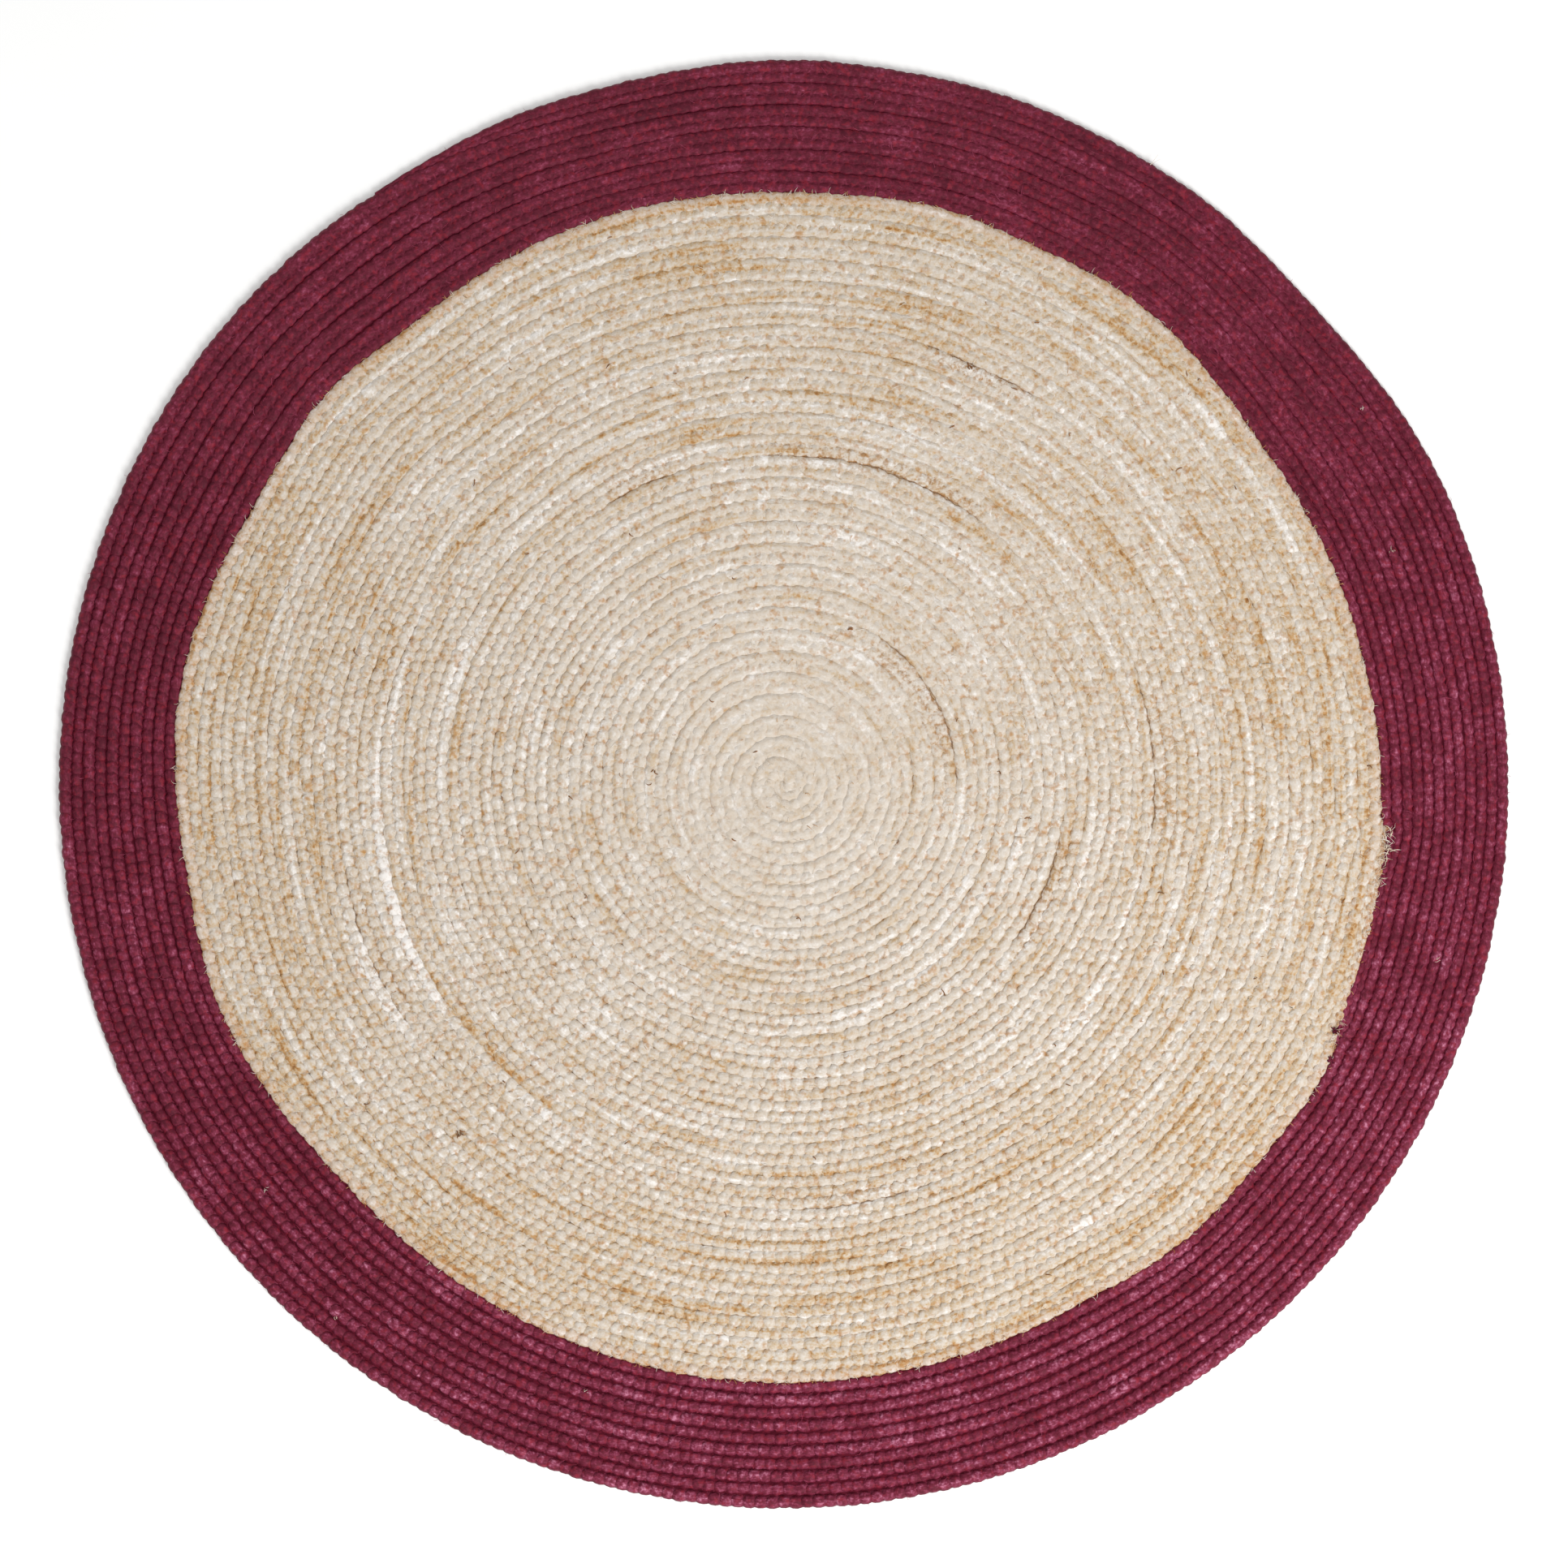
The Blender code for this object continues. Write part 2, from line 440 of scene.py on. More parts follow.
# each range turns one value into a share or a shift of the tone, and the tone picks a colour from stops
jute = {
    "stops": [(0.0, "#8b5b2d"), (0.18, "#ad8556"), (0.36, "#bba588"), (0.56, "#c3b6a6"), (0.78, "#ccc3b8"),
              (1.0, "#e1dcd7")],
    "middleTone": 0.58,
    "creviceShade": "#b08e66",
    "fleck": "#a8763c",
    "fleckScale": 190,               # flecks of 5 mm and smaller
    "fleckInCrevice": 0.1,           # more of them where the painted crevice shade lies, so they are partly painted shade
    "bled": "#b0703f",
    # painted shade in the gaps where two rows part
    "partedShade": "#976a3a",
    "raggedEdge": 6 * mm,            # how unevenly the painted crevice shade climbs the strands
    "roughness": 0.85,
    "bump": {"Strength": 0.7, "Distance": 0.5 * mm},
    # by the distance from the centre: the outer rows are duller, the middle is calm in tone, with little
    # painted crevice shade and few flecks
    "aged": {"From Min": 0.22, "From Max": 0.49, "To Min": 0.0, "To Max": -0.13},
    "calm": {"From Max": 0.32, "To Min": 0.5, "To Max": 1.0},
    "shadeFleckAndGlintTone": {"From Min": 0.02, "From Max": 0.14, "To Min": 0.15, "To Max": 1.0},
    # by the height in the plait: a painted highlight on the crests, painted shade down in the plait and in
    # the gaps where rows part
    "crestHighlight": {"From Min": 6.4 * mm, "From Max": 8.0 * mm, "To Max": 0.1},
    "sunkenShade": {"From Min": 9.8 * mm, "From Max": 7.6 * mm, "To Max": 0.7},
    "gap": {"From Min": 10.6 * mm, "From Max": 9.0 * mm},
    # by the noise: whole stretches of a ridge turn straw brown or nearly white, and flecks turn golden
    "straw": {"From Min": 0.42, "From Max": 0.33, "To Max": -0.13},
    "white": {"From Min": 0.57, "From Max": 0.67, "To Max": 0.13},
    "golden": {"From Min": 0.55, "From Max": 0.76, "To Max": 0.75},
    # the outer flank of the last row, which took some dye
    "lastRow": {"From Min": rug["fieldRows"] - 1.04, "From Max": rug["fieldRows"] - 1.0},
    "outerSide": {"From Min": 0.2, "From Max": 0.7, "To Max": 0.9},
    "soaked": {"operation": "MULTIPLY_ADD", 1: 0.85, 2: 0.15},
    "grain": {
        "bandTurns": 2.1,            # bands reach over about a fifth of a turn
        "bandRows": 125,             # and change every ridge or so
        "strand": (7, 20, 31.7),     # one strand keeps its shade for about 140 mm
        "bead": (105, 160, 9.1),     # each bead differs a little
        "hair": (230, 500, 3.3),     # fibres 2 mm wide, drawn coarser than real ones so that they show
        "pebble": (330, 330, 330),   # soft lumps of 3 mm
        "patch": (7, 7, 7),          # clouds of 140 mm
        "shares": {"band": 0.6, "strand": 0.6, "bead": 0.45, "hair": 0.75, "pebble": 0.9, "patch": 0.25},
        "lightness": -1.2,
    },
}


def juteMaterial():
    # bleached jute yarn: dull and soft, cream with straw and golden flecks, with painted shade, browner,
    # down in the plait and a painted highlight on the crests
    material, tree = newMaterial("naturalJute")
    parts = yarnNodes(tree, jute["grain"])
    height = addNode(tree, "ShaderNodeSeparateXYZ", {}, {0: parts["spot"]}).outputs["Z"]
    aged = addNode(tree, "ShaderNodeMapRange", jute["aged"], {"Value": parts["reach"]})
    calm = addNode(tree, "ShaderNodeMapRange", jute["calm"], {"Value": parts["reach"]})
    # how much of the painted crevice shade and of the flecks shows: less in the middle
    shadeFleckAndGlintTone = addNode(tree, "ShaderNodeMapRange", jute["shadeFleckAndGlintTone"], {"Value": parts["reach"]})
    # painted highlight: the crests are painted paler
    crestHighlight = addNode(tree, "ShaderNodeMapRange", jute["crestHighlight"], {"Value": height})
    # the duller outer rows, plus the painted highlight on the crests
    agedAndCrestLit = addNode(tree, "ShaderNodeMath", {"operation": "ADD"}, {0: aged, 1: crestHighlight})
    drift = addNode(tree, "ShaderNodeMath", {"operation": "SUBTRACT", 1: jute["middleTone"]},
                    {0: parts["tone"]})
    milder = addNode(tree, "ShaderNodeMath", {"operation": "MULTIPLY_ADD", 2: jute["middleTone"]},
                     {0: drift, 1: calm})
    straw = addNode(tree, "ShaderNodeMapRange", jute["straw"], {"Value": parts["noises"]["band"]})
    white = addNode(tree, "ShaderNodeMapRange", jute["white"], {"Value": parts["noises"]["band"]})
    arcs = addNode(tree, "ShaderNodeMath", {"operation": "ADD"}, {0: straw, 1: white})
    striped = addNode(tree, "ShaderNodeMath", {"operation": "MULTIPLY_ADD"}, {0: arcs, 1: calm, 2: milder})
    place = addNode(tree, "ShaderNodeAttribute", {"attribute_name": "place"}).outputs["Vector"]
    placed = addNode(tree, "ShaderNodeSeparateXYZ", {}, {0: place}).outputs
    tinted = addNode(tree, "ShaderNodeMath", {"operation": "ADD"}, {0: striped, 1: placed["Y"]})
    tone = addNode(tree, "ShaderNodeMath", {"operation": "ADD"}, {0: tinted, 1: agedAndCrestLit})
    base = addNode(tree, "ShaderNodeValToRGB", {"stops": jute["stops"]}, {"Fac": tone})
    # painted shade, browner, down in the plait
    ragged = addNode(tree, "ShaderNodeMath", {"operation": "MULTIPLY_ADD", 1: jute["raggedEdge"]},
                     {0: parts["noises"]["pebble"], 2: height})
    sunkenShade = addNode(tree, "ShaderNodeMapRange", jute["sunkenShade"], {"Value": ragged})
    deepShade = addNode(tree, "ShaderNodeMath", {"operation": "MULTIPLY"}, {0: sunkenShade, 1: shadeFleckAndGlintTone})
    shadedBase = addNode(tree, "ShaderNodeMix", {"data_type": "RGBA", 7: hexColour(jute["creviceShade"])},
                   {0: deepShade, 6: base})
    # golden flecks of root and bark, which gather where the painted crevice shade lies, so they are partly
    # painted shade
    specks = addNode(tree, "ShaderNodeTexNoise", {"Scale": jute["fleckScale"], "Detail": 2.0},
                     {"Vector": parts["spot"]})
    bark = addNode(tree, "ShaderNodeMath", {"operation": "MULTIPLY_ADD", 1: jute["fleckInCrevice"]},
                   {0: deepShade, 2: specks})
    golden = addNode(tree, "ShaderNodeMapRange", jute["golden"], {"Value": bark})
    flecks = addNode(tree, "ShaderNodeMath", {"operation": "MULTIPLY"}, {0: golden, 1: shadeFleckAndGlintTone})
    flecked = addNode(tree, "ShaderNodeMix", {"data_type": "RGBA", 7: hexColour(jute["fleck"])},
                      {0: flecks, 6: shadedBase.outputs[2]})
    # where two rows part, painted shade, brown, down in the gap
    apart = addNode(tree, "ShaderNodeAttribute", {"attribute_name": "apart"}).outputs["Fac"]
    gap = addNode(tree, "ShaderNodeMapRange", jute["gap"], {"Value": ragged})
    partedShade = addNode(tree, "ShaderNodeMath", {"operation": "MULTIPLY"}, {0: gap, 1: apart})
    gapShaded = addNode(tree, "ShaderNodeMix", {"data_type": "RGBA", 7: hexColour(jute["partedShade"])},
                      {0: partedShade, 6: flecked.outputs[2]})
    # the wine dye has bled a little into the outer flank of the last row, mostly where the painted crevice
    # shade lies, so it is partly painted shade
    lastRow = addNode(tree, "ShaderNodeMapRange", jute["lastRow"], {"Value": placed["X"]})
    outerSide = addNode(tree, "ShaderNodeMapRange", jute["outerSide"], {"Value": placed["Z"]})
    outerRidge = addNode(tree, "ShaderNodeMath", {"operation": "MULTIPLY"}, {0: lastRow, 1: outerSide})
    soaked = addNode(tree, "ShaderNodeMath", jute["soaked"], {0: deepShade})
    flank = addNode(tree, "ShaderNodeMath", {"operation": "MULTIPLY"}, {0: outerRidge, 1: soaked})
    colour = addNode(tree, "ShaderNodeMix", {"data_type": "RGBA", 7: hexColour(jute["bled"])},
                     {0: flank, 6: gapShaded.outputs[2]})
    bump = addNode(tree, "ShaderNodeBump", jute["bump"], {"Height": parts["height"]})
    shader = addNode(tree, "ShaderNodeBsdfPrincipled",
                     {"Roughness": jute["roughness"], "Specular IOR Level": 0.25, "Sheen Weight": 0.1},
                     {"Base Color": colour.outputs[2], "Normal": bump})
    addNode(tree, "ShaderNodeOutputMaterial", {}, {"Surface": shader})
    return material


dyed = {
    "stops": [(0.0, "#501424"), (0.25, "#5e1a2b"), (0.45, "#6b2135"), (0.62, "#7c2f46"), (0.8, "#8f475e"),
              (1.0, "#b36e86")],
    "redder": "#8c2230",
    "redScale": 210,                 # redder specks of 5 mm and smaller
    # painted shade for the valleys
    "creviceShade": "#6a1c30",
    "litSideDirection": (0.35, -0.94, 0),   # painted light: the side towards the key light is painted a shade paler
    "litSideTone": 0.2,
    "roughness": 0.6,
    "bump": {"Strength": 0.7, "Distance": 0.5 * mm},
    # painted highlights: glints painted onto the crests
    "crestHighlight": {"From Min": 7.0 * mm, "From Max": 8.3 * mm, "To Max": 0.16},
    "deepShade": {"From Min": 7.2 * mm, "From Max": 4.8 * mm, "To Max": 0.5},
    "litSide": {"From Min": -0.3, "From Max": 0.5, "To Min": 0.2, "To Max": 1.1},
    "glint": {"From Min": 0.42, "From Max": 0.68},
    "red": {"From Min": 0.53, "From Max": 0.74, "To Max": 0.6},
    "grain": {
        "bandTurns": 3.0,
        "bandRows": 70,
        "strand": (8, 20, 27.3),
        "bead": (105, 160, 9.1),
        "hair": (200, 700, 3.3),
        "pebble": (300, 300, 300),
        "patch": (42, 42, 42),       # the dye took unevenly over 25 mm
        "shares": {"band": 0.5, "strand": 0.3, "bead": 0.35, "hair": 0.7, "pebble": 1.2, "patch": 0.75},
        "lightness": -1.64,
    },
}


def maroonMaterial():
    # jute yarn dyed wine red: the dye takes unevenly; painted glints on the crests, a painted paler side
    # towards the key light, and painted shade in the valleys
    material, tree = newMaterial("maroonJute")
    parts = yarnNodes(tree, dyed["grain"])
    height = addNode(tree, "ShaderNodeSeparateXYZ", {}, {0: parts["spot"]}).outputs["Z"]
    crestHighlight = addNode(tree, "ShaderNodeMapRange", dyed["crestHighlight"], {"Value": height})
    # painted light: the side towards the key light is painted a shade paler, and its glints brighter
    side = addNode(tree, "ShaderNodeVectorMath", {"operation": "DOT_PRODUCT", 1: dyed["litSideDirection"]},
                   {0: parts["spot"]}).outputs["Value"]
    litSide = addNode(tree, "ShaderNodeMapRange", dyed["litSide"], {"Value": side})
    # painted highlights: glints painted onto the crests, brighter on the lit side
    glint = addNode(tree, "ShaderNodeMapRange", dyed["glint"], {"Value": parts["noises"]["pebble"]})
    shine = addNode(tree, "ShaderNodeMath", {"operation": "MULTIPLY"}, {0: glint, 1: litSide})
    litTone = addNode(tree, "ShaderNodeMath", {"operation": "MULTIPLY_ADD", 1: dyed["litSideTone"]},
                    {0: litSide, 2: parts["tone"]})
    shadeFleckAndGlintTone = addNode(tree, "ShaderNodeMath", {"operation": "MULTIPLY_ADD"}, {0: crestHighlight, 1: shine, 2: litTone})
    base = addNode(tree, "ShaderNodeValToRGB", {"stops": dyed["stops"]}, {"Fac": shadeFleckAndGlintTone})
    # painted shade, a darker wine, down in the valleys
    deepShade = addNode(tree, "ShaderNodeMapRange", dyed["deepShade"], {"Value": height})
    shadedBase = addNode(tree, "ShaderNodeMix", {"data_type": "RGBA", 7: hexColour(dyed["creviceShade"])},
                   {0: deepShade, 6: base})
    reds = addNode(tree, "ShaderNodeTexNoise", {"Scale": dyed["redScale"], "Detail": 2.0},
                   {"Vector": parts["spot"]})
    redder = addNode(tree, "ShaderNodeMapRange", dyed["red"], {"Value": reds})
    colour = addNode(tree, "ShaderNodeMix", {"data_type": "RGBA", 7: hexColour(dyed["redder"])},
                     {0: redder, 6: shadedBase.outputs[2]})
    bump = addNode(tree, "ShaderNodeBump", dyed["bump"], {"Height": parts["height"]})
    shader = addNode(tree, "ShaderNodeBsdfPrincipled",
                     {"Roughness": dyed["roughness"], "Specular IOR Level": 0.13},
                     {"Base Color": colour.outputs[2], "Normal": bump})
    addNode(tree, "ShaderNodeOutputMaterial", {}, {"Surface": shader})
    return material


def woollyMaterial(name, dark, light, perMetre):
    # matted fibre between two shades, clouded and dull
    material, tree = newMaterial(name)
    spot = addNode(tree, "ShaderNodeTexCoord").outputs["Object"]
    clouds = addNode(tree, "ShaderNodeTexNoise", {"Scale": perMetre, "Detail": 3.0}, {"Vector": spot})
    colour = addNode(tree, "ShaderNodeValToRGB", {"stops": [(0.35, dark), (0.65, light)]}, {"Fac": clouds})
    bump = addNode(tree, "ShaderNodeBump", {"Strength": 0.5, "Distance": 0.3 * mm}, {"Height": clouds})
    shader = addNode(tree, "ShaderNodeBsdfPrincipled", {"Roughness": 0.9, "Specular IOR Level": 0.1},
                     {"Base Color": colour, "Normal": bump})
    addNode(tree, "ShaderNodeOutputMaterial", {}, {"Surface": shader})
    return material


naturalJute = juteMaterial()
maroonJute = maroonMaterial()
print("materials made")

# how each braid is wound and worn
naturalWound = {
    "turns": (-0.72, rug["fieldRows"] - 0.004),       # the first part turn lies folded in at the centre
    "points": 40000,
    "stitchAt": (0, 14, 26),                          # after so many turns
    "stitch": (32 * mm, 31.5 * mm, 30.3 * mm),        # one full plait is so long
    "flattest": 0.25,                                 # relief left in the middle,
    "flatTo": (0.01, 0.22),                           # which is full again this far out, in metres
    "farSide": (10, 55, 125, 165),                    # degrees over which the far side is flatter
    "farLoss": 0.62,                                  # relief lost there
    "pieces": 6,
    "seed": 100,
}
maroonWound = {
    "turns": (-0.065, 5.352),
    "points": 30000,
    "row": 18.3 * mm,                                 # the full width of a row
    "stitch": 28.1 * mm,
    "smooth": (70, 0.9, 1.1, -0.1, 0.1),              # points averaged, and the turns where that sets in
    "tilt": 0.5 * mm,
    "tilted": (130, 170, 280, 320),                   # degrees over which the rows lean outwards
    "farSide": (15, 45, 135, 165),                    # degrees over which it is trodden flat
    "farLoss": 0.55,                                  # relief lost there
    "crowding": 0.9 * mm,                             # how far its rows crowd over each other there
    "evenCrowding": 0.2,                              # and the share of that elsewhere
    "crowdSpacing": 0.03,                             # changing every so many turns
    "crowdSeed": 77,
    "innerRows": 1,                                   # rows past this one crowd inwards
    "outerRows": 4.3,                                 # and rows before this one outwards
    "rimRow": 5,                                      # the row that lies along the rim
    "pieces": 3,
    "seed": 500,
}

turns = np.linspace(*naturalWound["turns"], naturalWound["points"])
innerEdge = np.maximum(fieldEdge(turns), 0)
outerEdge = fieldEdge(turns + 1)
outerEdge = outerEdge - np.where(turns > rug["fieldRows"] - 1, rug["rowGrowth"] * stepAt(turns), 0)
degrees = rug["startDeg"] + 360 * turns
for start, end, middle, strength in partings:
    halfway = ((start + end) / 2 - rug["startDeg"]) / 360 % 1
    seams = np.arange(1, rug["fieldRows"]) + halfway
    nearest = seams[np.argmin(np.abs(fieldEdge(seams) - middle * mm))]
    shift = rug["parting"] * strength * alongArc(degrees, start, end)
    innerEdge = innerEdge + np.where(np.abs(turns - nearest) < 0.5, shift, 0)
    outerEdge = outerEdge - np.where(np.abs(turns - nearest + 1) < 0.5, shift, 0)
period = np.interp(turns, naturalWound["stitchAt"], naturalWound["stitch"])
flattest = naturalWound["flattest"]
relief = flattest + (1 - flattest) * eased(innerEdge, *naturalWound["flatTo"])
relief = relief * (1 - naturalWound["farLoss"] * sector(degrees % 360, *naturalWound["farSide"]))
level = np.zeros_like(turns)
fieldRoute = layRoute(turns, innerEdge, outerEdge, rug["centreRow"], period, level, relief,
                      naturalWound["seed"])

turns = np.linspace(*maroonWound["turns"], maroonWound["points"])
innerEdge = borderEdge(turns)
innerEdge = np.where(turns < 0, seamAt(turns % 1), innerEdge)
outerEdge = borderEdge(turns + 1)
outerEdge = np.where(turns > maroonWound["rimRow"], rimAt(turns), outerEdge)
reach, innerFrom, innerTo, outerFrom, outerTo = maroonWound["smooth"]
innerEdge = innerEdge + (runningMean(innerEdge, reach) - innerEdge) * eased(turns, innerFrom, innerTo)
outerEdge = outerEdge + (runningMean(outerEdge, reach) - outerEdge) * eased(turns, outerFrom, outerTo)
degrees = (rug["startDeg"] + 360 * turns) % 360
tilt = maroonWound["tilt"] * sector(degrees, *maroonWound["tilted"])
flatter = sector(degrees, *maroonWound["farSide"])
relief = 1 - maroonWound["farLoss"] * flatter
uneven = (1 + wander(turns, maroonWound["crowdSpacing"], maroonWound["crowdSeed"])) / 2
crowding = maroonWound["crowding"] * (maroonWound["evenCrowding"] + flatter) * uneven
innerEdge = innerEdge - crowding * (turns > maroonWound["innerRows"])
outerEdge = outerEdge + crowding * (turns < maroonWound["outerRows"])
borderRoute = layRoute(turns, innerEdge, outerEdge, maroonWound["row"], maroonWound["stitch"], tilt, relief,
                       maroonWound["seed"])

naturalPieces = []
cuts = np.linspace(0, fieldRoute["phase"][-1], naturalWound["pieces"] + 1)
for number, (start, end) in enumerate(zip(cuts, cuts[1:]), 1):
    piece = layBraid(f"natural_braid_{number}", fieldRoute, start, end, naturalBraid, naturalJute)
    naturalPieces.append(piece)
maroonPieces = []
cuts = np.linspace(0, borderRoute["phase"][-1], maroonWound["pieces"] + 1)
for number, (start, end) in enumerate(zip(cuts, cuts[1:]), 1):
    piece = layBraid(f"maroon_braid_{number}", borderRoute, start, end, maroonBraid, maroonJute)
    maroonPieces.append(piece)
print("braids laid:", sum(len(p.data.polygons) for p in naturalPieces + maroonPieces) * 2, "triangles")


# a sheet inside the braids for the sewing, coloured darker than the yarn as painted shade down between the
# rows, which keeps light from coming through between them
web = {
    "low": 3.0 * mm,
    "high": 5.2 * mm,
    "rimInset": 4.5 * mm,    # how far it stays inside the rim
    "seamInset": 0.3 * mm,   # and from the seam, on both sides of it
    "points": 360,
}


def layWeb(name, outline, outset, inside, material):
    bm = bmesh.new()
    loops = []
    for line, shift in ((outline, -outset), (inside, web["seamInset"])):
        if line is None:
            continue
        ring = bmesh.ops.create_circle(bm, segments=web["points"], radius=1.0)["verts"]
        for v in ring:
            degrees = math.degrees(math.atan2(v.co.y, v.co.x)) % 360
            radius = float(np.interp(degrees, *line, period=360)) + shift
            v.co = (v.co.x * radius, v.co.y * radius, web["low"])
        loops.append(ring)
    edges = [e for e in bm.edges if e.is_wire]
    if inside is None:
        bmesh.ops.contextual_create(bm, geom=edges)
    else:
        bmesh.ops.bridge_loops(bm, edges=edges)
    if bm.faces[:][0].normal.z < 0:
        bmesh.ops.reverse_faces(bm, faces=bm.faces[:])
    bmesh.ops.solidify(bm, geom=bm.faces[:], thickness=web["low"] - web["high"])
    bmesh.ops.recalc_face_normals(bm, faces=bm.faces[:])
    mesh = bpy.data.meshes.new(name)
    bm.to_mesh(mesh)
    bm.free()
    mesh.materials.append(material)
    return addObject(name, mesh)


naturalWebShade = woollyMaterial("webNaturalShade", "#a68c6b", "#bda688", 300)
maroonWebShade = woollyMaterial("webMaroonShade", "#420817", "#5a1223", 300)
naturalWeb = layWeb("natural_web", seamLine, web["seamInset"], None, naturalWebShade)
maroonWeb = layWeb("maroon_web", rimLine, web["rimInset"], seamLine, maroonWebShade)

fuzz = {
    "thick": 0.17 * mm,      # half thickness of a loose fibre, about three times a real one so that it shows
    "coarser": {"straw": 1.3, "bark": 2.6, "knot": 3.6, "yarnEnd": 2.3},   # times as thick
    "taper": (1, 1, 0.8, 0.4),           # its thickness from joint to joint
    "curl": 0.45,            # how much it bends at each joint, in radians
    "field": 1200,           # how many lie on the natural braid
    "seam": 380,             # along the seam
    "centre": 40,            # over the centre
    "border": 420,
    "rim": 120,
    "bark": 55,
    "strawSeam": 520,
    "strawField": 260,
    "short": (3 * mm, 7 * mm),
    "long": (5 * mm, 12 * mm),
    "onTop": (7.0 * mm, 8.7 * mm),       # the heights that a fibre starts from and rises to
    "onSeam": (7.0 * mm, 8.3 * mm),
    "onRim": (3.5 * mm, 6 * mm),
    "tuftReach": (-2.5 * mm, 1.5 * mm),  # where a tuft's fibres start, inwards and outwards of it
    "seamMargin": 5 * mm,                # the border's fibres start this far from the seam
    "rimMargin": 4 * mm,                 # and from the rim
    "rimDepth": 2.5 * mm,                # and the rim's fibres this far inside it
}
chance = np.random.default_rng(41)


def scatter(count, radius, heading, spread, lengths, heights):
    # fibres at random angles; heading 0 points outwards and 90 along the braid
    angle = chance.uniform(0, 2 * np.pi, count)
    turn = (np.degrees(angle) - rug["startDeg"]) / 360 % 1
    return fibresAt(radius(turn, count), angle, heading, spread, lengths, heights)


def fibresAt(radius, angle, heading, spread, lengths, heights):
    count = len(angle)
    return {"radius": radius, "angle": angle,
            "heading": angle + np.radians(heading) + chance.normal(0, math.radians(spread), count),
            "length": chance.uniform(*lengths, count), "heights": heights}


def tuft(degrees, spread, radius, count, heading, fan, lengths, heights):
    # a few fibres together at one place
    angle = np.radians(degrees + chance.uniform(-spread, spread, count))
    away = chance.uniform(*fuzz["tuftReach"], count)
    return fibresAt(radius + away, angle, heading, fan, lengths, heights)


def layFibres(name, groups, thick, material):
    curve = bpy.data.curves.new(name, "CURVE")
    curve.dimensions = "3D"
    curve.bevel_depth = thick
    curve.bevel_resolution = 0
    for group in groups:
        low, high = group["heights"]
        levels = (low, high, high, (low + high) / 2)   # it rises, lies and sinks halfway back
        for radius, angle, heading, length in zip(group["radius"], group["angle"], group["heading"],
                                                  group["length"]):
            bend = chance.normal(0, fuzz["curl"])
            x, y = radius * math.cos(angle), radius * math.sin(angle)
            spline = curve.splines.new("POLY")
            spline.points.add(3)
            for point, z, width in zip(spline.points, levels, fuzz["taper"]):
                point.co = (x, y, z, 1)
                point.radius = width
                heading = heading + bend
                x, y = x + length / 3 * math.cos(heading), y + length / 3 * math.sin(heading)
            spline.use_smooth = True
    return meshPiece(name, curve, material)


def overField(margin):
    # evenly over the natural braid, up to a margin from the seam
    return lambda turn, count: np.sqrt(chance.uniform(0, 1, count)) * (seamAt(turn) - margin)


def alongSeam(inner, outer):
    return lambda turn, count: seamAt(turn) + chance.uniform(inner, outer, count) * mm


def overBorder(turn, count):
    inner = seamAt(turn) + fuzz["seamMargin"]
    outer = rimAt(turn) - fuzz["rimMargin"]
    return inner + chance.uniform(0, 1, count) * (outer - inner)


def alongRim(turn, count):
    return rimAt(turn) - fuzz["rimDepth"]


paleFibre = woollyMaterial("paleFibre", "#c9b79f", "#e6ded3", 90)
wineFibre = woollyMaterial("wineFibre", "#7c1f37", "#a04a63", 90)
barkBrown = woollyMaterial("barkBrown", "#6e4728", "#99683e", 160)
wineKnot = woollyMaterial("wineKnot", "#45101f", "#6b2236", 160)
strawGold = woollyMaterial("strawGold", "#a06c3a", "#cfa271", 120)
short, long, onTop, onSeam = fuzz["short"], fuzz["long"], fuzz["onTop"], fuzz["onSeam"]

# pale fibres everywhere on the natural braid, thickest where it ends, and a few caught on the border
lastEndSeam, thinEndSeam, halfEndSeam = (float(seamAt(turn)) for turn in (-0.01, -0.02, -0.06))
paleGroups = [
    scatter(fuzz["field"], overField(6 * mm), 90, 40, long, onTop),
    scatter(fuzz["seam"], alongSeam(-3, 0.3), 20, 50, short, onSeam),
    tuft(354.6, 1.9, lastEndSeam, 22, 10, 60, long, onTop),
    tuft(350.9, 0.7, thinEndSeam, 14, 0, 50, short, onTop),
    tuft(335.6, 1.6, halfEndSeam, 26, 10, 60, short, onTop),
    fibresAt(np.sqrt(chance.uniform(0, 1, fuzz["centre"])) * 30 * mm,
             chance.uniform(0, 2 * np.pi, fuzz["centre"]), 0, 90, short, onTop),
]
for degrees, radius in ((21, 540), (33, 571), (218, 545), (230, 578), (252, 530), (345, 561)):
    paleGroups.append(tuft(degrees, 0.15, radius * mm, 5, 60, 90, (1.5 * mm, 4 * mm), (7.8 * mm, 8.8 * mm)))
rimHair = float(rimAt((59.5 - rug["startDeg"]) / 360 % 1)) - 4 * mm   # one long hair sticks out of the rim
paleGroups.append(tuft(59.5, 0.1, rimHair, 2, 0, 15, (14 * mm, 18 * mm), (5 * mm, 6.5 * mm)))
wineGroups = [
    scatter(fuzz["border"], overBorder, 90, 35, long, onTop),
    scatter(fuzz["rim"], alongRim, 15, 50, short, fuzz["onRim"]),
]
barkGroups = [scatter(fuzz["bark"], overField(8 * mm), 90, 40, short, (7.2 * mm, 8.3 * mm))]
for degrees, radius, count in ((66, 378, 5), (227, 395, 5), (174, 109, 3), (66, 141, 3)):
    barkGroups.append(tuft(degrees, 0.4, radius * mm, count, 90, 35, (3 * mm, 6 * mm), (7.3 * mm, 8.6 * mm)))
strawGroups = [
    scatter(fuzz["strawSeam"], alongSeam(-2.5, 1.2), 40, 60, (2 * mm, 5 * mm), onSeam),
    scatter(fuzz["strawField"], overField(6 * mm), 90, 40, short, onTop),
]
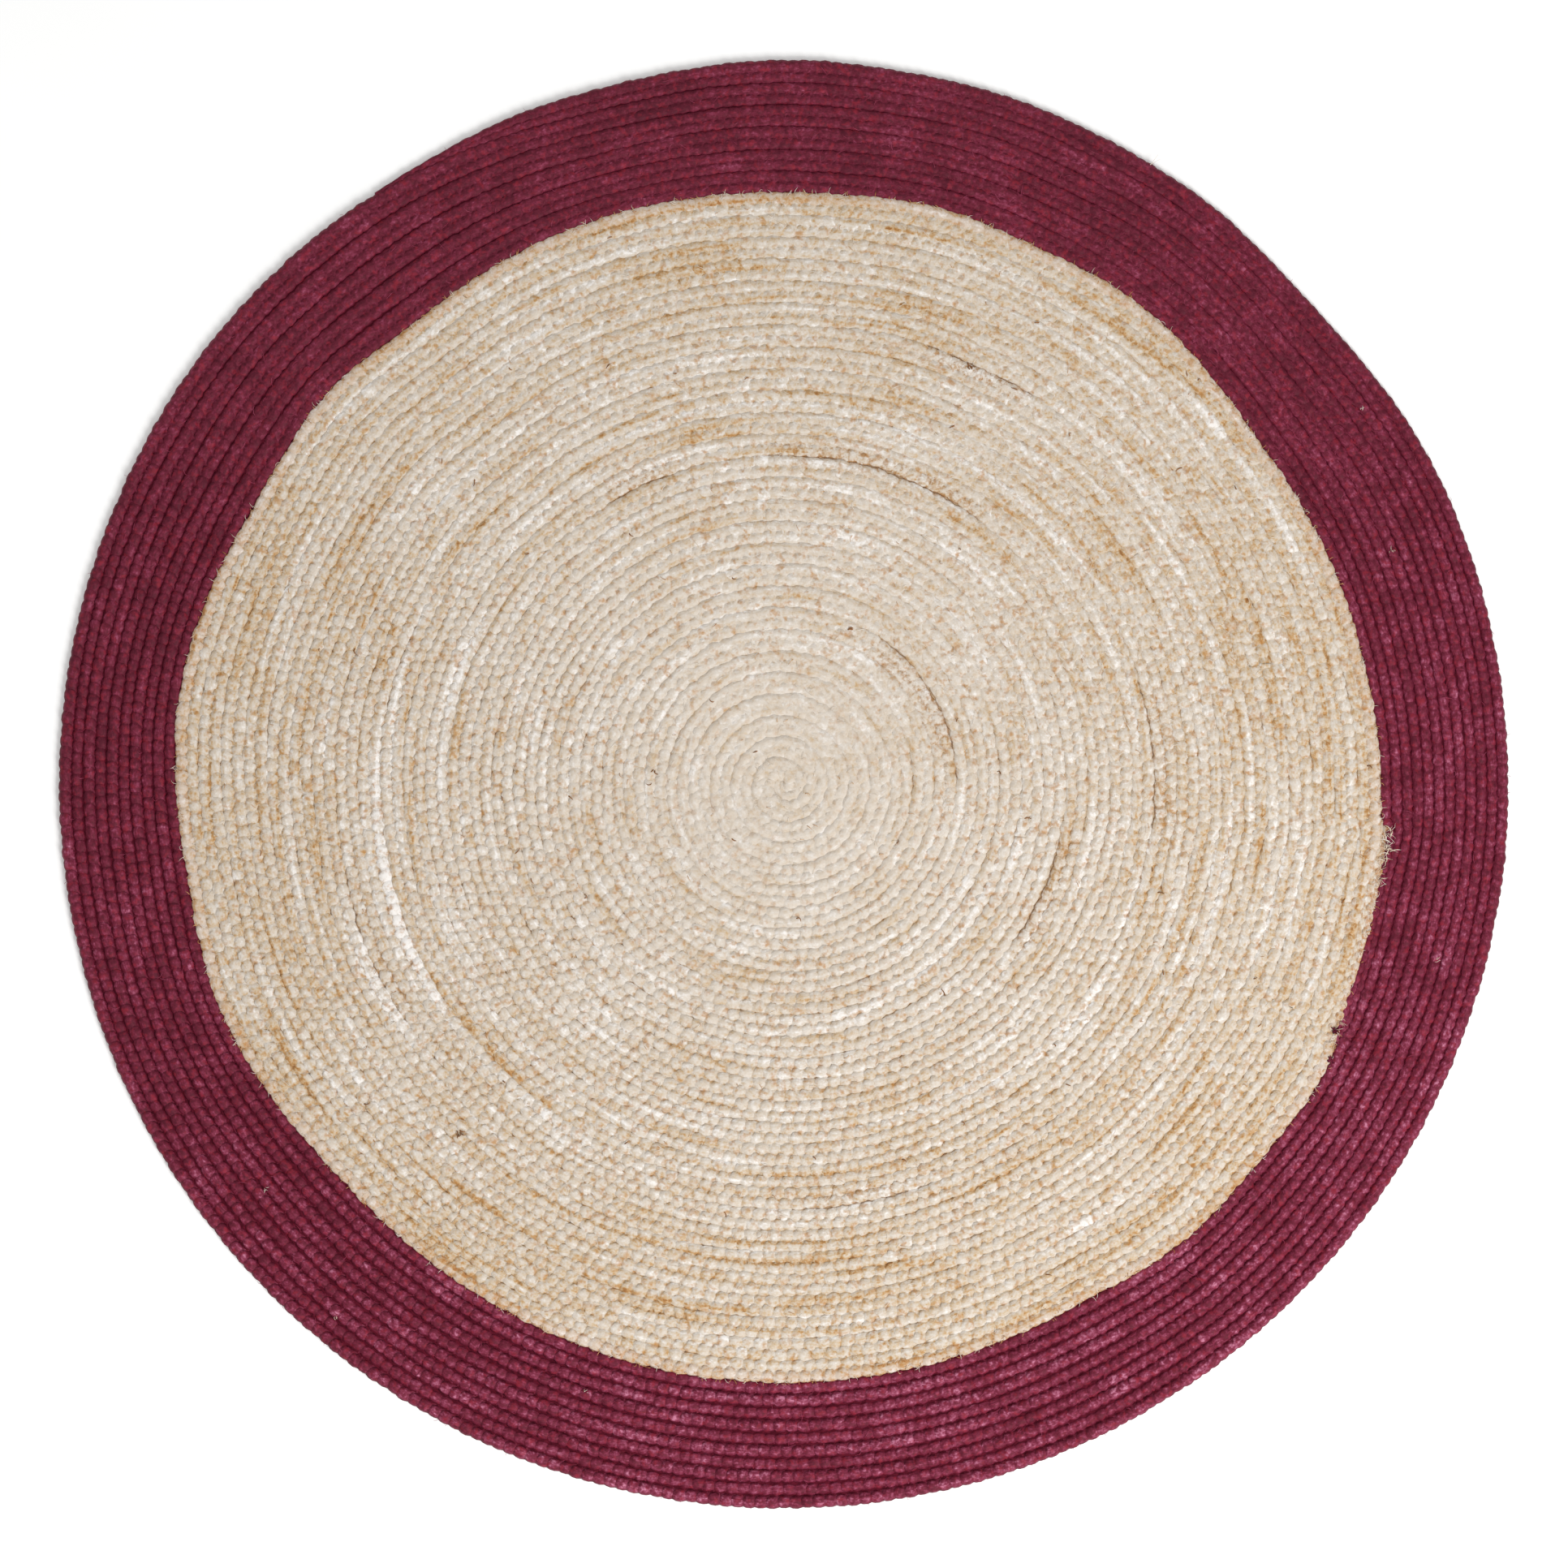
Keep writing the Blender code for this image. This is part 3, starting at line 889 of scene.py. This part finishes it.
coarse = {kind: share * fuzz["thick"] for kind, share in fuzz["coarser"].items()}
strawBits = layFibres("straw_fibres", strawGroups, coarse["straw"], strawGold)
paleFluff = layFibres("pale_fibres", paleGroups, fuzz["thick"], paleFibre)
barkBits = layFibres("bark_bits", barkGroups, coarse["bark"], barkBrown)
wineFluff = layFibres("wine_fibres", wineGroups, fuzz["thick"], wineFibre)
# two dark knots at the first step
knotGroups = []
for degrees in (333.2, 335.8):
    seam = float(seamAt((degrees - rug["startDeg"]) / 360))
    knotGroups.append(tuft(degrees, 0.25, seam, 14, 90, 60, (1.5 * mm, 3 * mm), (7.4 * mm, 8.2 * mm)))
wineKnots = layFibres("wine_knots", knotGroups, coarse["knot"], wineKnot)
# the natural braid's cut ends stick out of the seam at its last step
endGroup = tuft(354.4, 1.8, lastEndSeam + 3 * mm, 13, 90, 40, (5 * mm, 11 * mm), onTop)
yarnEnds = layFibres("cut_yarn_ends", [endGroup], coarse["yarnEnd"], paleFibre)
naturalPieces += [paleFluff, barkBits, strawBits, yarnEnds]
maroonPieces += [wineFluff, wineKnots]
loose = (paleFluff, strawBits, barkBits, yarnEnds, wineFluff, wineKnots)
print("loose fibres laid:", sum(len(p.data.polygons) for p in loose) * 2, "triangles")

for piece in naturalPieces + [naturalWeb]:
    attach(piece, "root")
for piece in maroonPieces + [maroonWeb]:
    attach(piece, "root")
for piece in naturalPieces + [naturalWeb]:
    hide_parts("natural_coil")
for piece in maroonPieces + [maroonWeb]:
    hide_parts("maroon_border")
print("web laid under", len(naturalPieces) + len(maroonPieces), "pieces")


def addFloor():
    bpy.ops.mesh.primitive_plane_add(size=30, location=(0, 0, 0))
    floor = bpy.context.object
    floor.name = "floor"
    floor.data.materials.append(woollyMaterial("paleFloor", "#f8f8f7", "#fafaf9", 3))


def addLight(name, azimuth, elevation, distance, size, power):
    data = bpy.data.lights.new(name, "AREA")
    data.shape = "DISK"
    data.size = size
    data.energy = power
    light = addObject(name, data)
    a = math.radians(azimuth)
    e = math.radians(elevation)
    level = distance * math.cos(e)
    light.location = (level * math.cos(a), level * math.sin(a), distance * math.sin(e))
    light.rotation_euler = (-light.location).to_track_quat("-Z", "Y").to_euler()


addFloor()
addLight("keyLight", azimuth=305, elevation=45, distance=3.3, size=1.5, power=84)
addLight("fillLight", azimuth=110, elevation=60, distance=4.5, size=3.0, power=10)
world = bpy.data.worlds.new("studio")
world.use_nodes = True
sky = world.node_tree.nodes["Background"].inputs
sky["Color"].default_value = (1, 1, 1, 1)
sky["Strength"].default_value = 0.7
bpy.context.scene.world = world

view = {"lens": 100, "sensor": 36, "share": 0.9218}   # the rug fills this share of the view's width
camera = bpy.data.cameras.new("camera")
camera.lens = view["lens"]
camera.sensor_width = view["sensor"]
lookDown = addObject("camera", camera)
width = cadBox[1][0] - cadBox[0][0]
lookDown.location = (0, 0, width / view["share"] * view["lens"] / view["sensor"])
bpy.context.scene.camera = lookDown
bpy.context.scene.view_settings.view_transform = "Standard"
print("floor, lights and camera placed")
